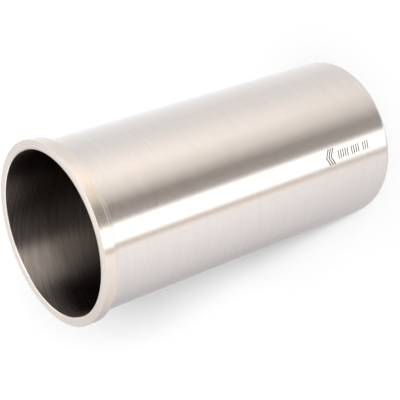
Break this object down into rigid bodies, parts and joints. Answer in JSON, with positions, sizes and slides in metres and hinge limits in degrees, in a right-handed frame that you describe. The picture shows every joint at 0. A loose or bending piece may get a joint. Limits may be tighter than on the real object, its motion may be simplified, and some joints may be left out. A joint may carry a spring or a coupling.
{
  "type": "cylinder liner",
  "caption": "Thin dry cylinder liner with a top flange, a relief groove under its seat, a ground outside and a honed bore.",
  "frame": {"origin": "centre of the skirt's end face, at the bottom", "axes": "+Z along the bore axis, from the skirt towards the flange"},
  "size_m": [0.1086, 0.1086, 0.217],
  "materials": {
    "ground_iron": "fine ground outside and top face, honed bore"
  },
  "bodies": {
    "root": {"cylinder_liner": "ground_iron"}
  },
  "joints": []
}
